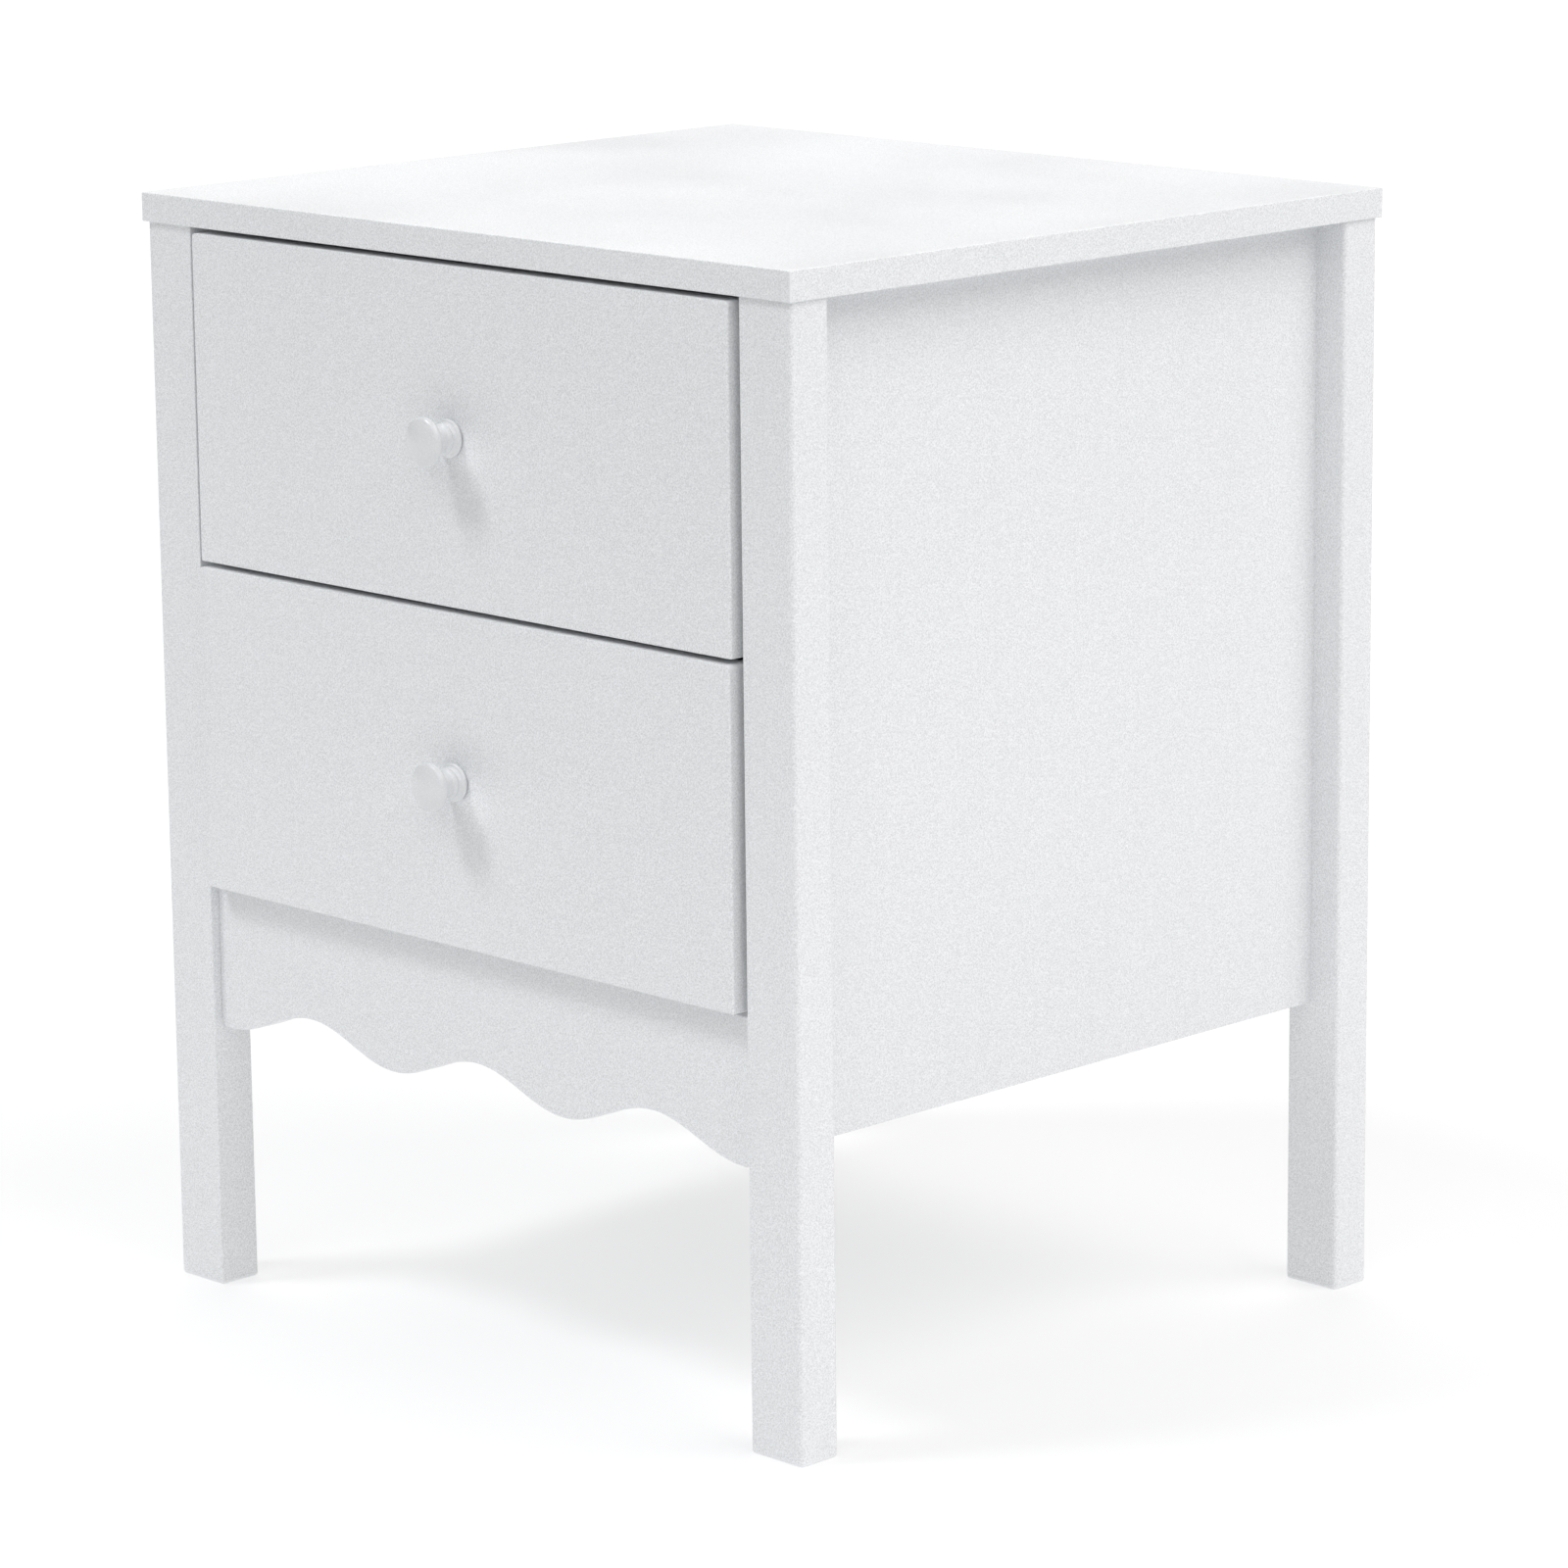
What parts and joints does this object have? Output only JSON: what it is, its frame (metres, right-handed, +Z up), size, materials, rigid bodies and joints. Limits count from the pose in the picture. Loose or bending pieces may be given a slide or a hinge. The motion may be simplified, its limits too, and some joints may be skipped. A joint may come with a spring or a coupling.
{
  "type": "nightstand",
  "caption": "White nightstand: a square-edged top on straight legs, closed sides, drawers with round knobs on ball slides, and a scalloped apron.",
  "frame": {"origin": "on the floor under the middle of the bounding box, knobs included", "axes": "+X to the right seen from the front, -Y out of the drawer fronts towards the user, +Z up"},
  "size_m": [0.47, 0.446, 0.575],
  "materials": {
    "white_painted_board": "satin white paint",
    "painted_knob": "semi-gloss white paint",
    "white_foiled_board": "matt white foil",
    "white_hardboard": "white lacquered hardboard",
    "bare_birch": "bare wood",
    "zinc_plated_steel": "zinc plated",
    "polished_steel": "polished",
    "cast_zinc": "die cast"
  },
  "bodies": {
    "cabinet": {"top_panel": "white_painted_board", "leg_front_left": "white_painted_board", "leg_front_right": "white_painted_board", "leg_rear_left": "white_painted_board", "leg_rear_right": "white_painted_board", "side_panel_left": "white_painted_board", "side_panel_right": "white_painted_board", "back_panel": "white_hardboard", "apron_front": "white_painted_board", "rail_top_front": "white_painted_board", "rail_top_rear": "white_painted_board", "rail_bottom_rear": "white_painted_board", "frame_dowels": "bare_birch", "frame_cam_locks": "cast_zinc", "frame_cam_bolts": "zinc_plated_steel", "top_screws": "zinc_plated_steel", "back_panel_screws": "zinc_plated_steel", "runner_screws": "zinc_plated_steel", "runner_upper_left": "zinc_plated_steel", "runner_upper_right": "zinc_plated_steel", "runner_lower_left": "zinc_plated_steel", "runner_lower_right": "zinc_plated_steel"},
    "upper_drawer": {"upper_drawer_front": "white_painted_board", "upper_drawer_side_left": "white_foiled_board", "upper_drawer_side_right": "white_foiled_board", "upper_drawer_back": "white_foiled_board", "upper_drawer_bottom": "white_hardboard", "upper_knob": "painted_knob", "upper_knob_screw": "zinc_plated_steel", "upper_drawer_slide_left": "zinc_plated_steel", "upper_drawer_slide_right": "zinc_plated_steel", "upper_drawer_slide_screws": "zinc_plated_steel", "upper_drawer_cam_locks": "cast_zinc", "upper_drawer_cam_bolts": "zinc_plated_steel", "upper_drawer_screws": "zinc_plated_steel"},
    "lower_drawer": {"lower_drawer_front": "white_painted_board", "lower_drawer_side_left": "white_foiled_board", "lower_drawer_side_right": "white_foiled_board", "lower_drawer_back": "white_foiled_board", "lower_drawer_bottom": "white_hardboard", "lower_knob": "painted_knob", "lower_knob_screw": "zinc_plated_steel", "lower_drawer_slide_left": "zinc_plated_steel", "lower_drawer_slide_right": "zinc_plated_steel", "lower_drawer_slide_screws": "zinc_plated_steel", "lower_drawer_cam_locks": "cast_zinc", "lower_drawer_cam_bolts": "zinc_plated_steel", "lower_drawer_screws": "zinc_plated_steel"},
    "upper_left_ball_cage": {"ball_cage_upper_left": "zinc_plated_steel", "balls_upper_left": "polished_steel"},
    "upper_right_ball_cage": {"ball_cage_upper_right": "zinc_plated_steel", "balls_upper_right": "polished_steel"},
    "lower_left_ball_cage": {"ball_cage_lower_left": "zinc_plated_steel", "balls_lower_left": "polished_steel"},
    "lower_right_ball_cage": {"ball_cage_lower_right": "zinc_plated_steel", "balls_lower_right": "polished_steel"}
  },
  "joints": [
    {"name": "upper_drawer_slide", "type": "slide", "parent": "cabinet", "child": "upper_drawer", "axis": [0, -1, 0], "range_m": [0, 0.24]},
    {"name": "upper_left_cage_slide", "type": "slide", "parent": "cabinet", "child": "upper_left_ball_cage", "axis": [0, -1, 0], "range_m": [0, 0.12]},
    {"name": "upper_right_cage_slide", "type": "slide", "parent": "cabinet", "child": "upper_right_ball_cage", "axis": [0, -1, 0], "range_m": [0, 0.12]},
    {"name": "lower_drawer_slide", "type": "slide", "parent": "cabinet", "child": "lower_drawer", "axis": [0, -1, 0], "range_m": [-0.0015, 0.2385]},
    {"name": "lower_left_cage_slide", "type": "slide", "parent": "cabinet", "child": "lower_left_ball_cage", "axis": [0, -1, 0], "range_m": [-0.00075, 0.11925]},
    {"name": "lower_right_cage_slide", "type": "slide", "parent": "cabinet", "child": "lower_right_ball_cage", "axis": [0, -1, 0], "range_m": [-0.00075, 0.11925]}
  ],
  "couplings": [
    {"joint": "upper_left_cage_slide", "follows": "upper_drawer_slide", "ratio": 0.5},
    {"joint": "upper_right_cage_slide", "follows": "upper_drawer_slide", "ratio": 0.5},
    {"joint": "lower_left_cage_slide", "follows": "lower_drawer_slide", "ratio": 0.5},
    {"joint": "lower_right_cage_slide", "follows": "lower_drawer_slide", "ratio": 0.5}
  ]
}
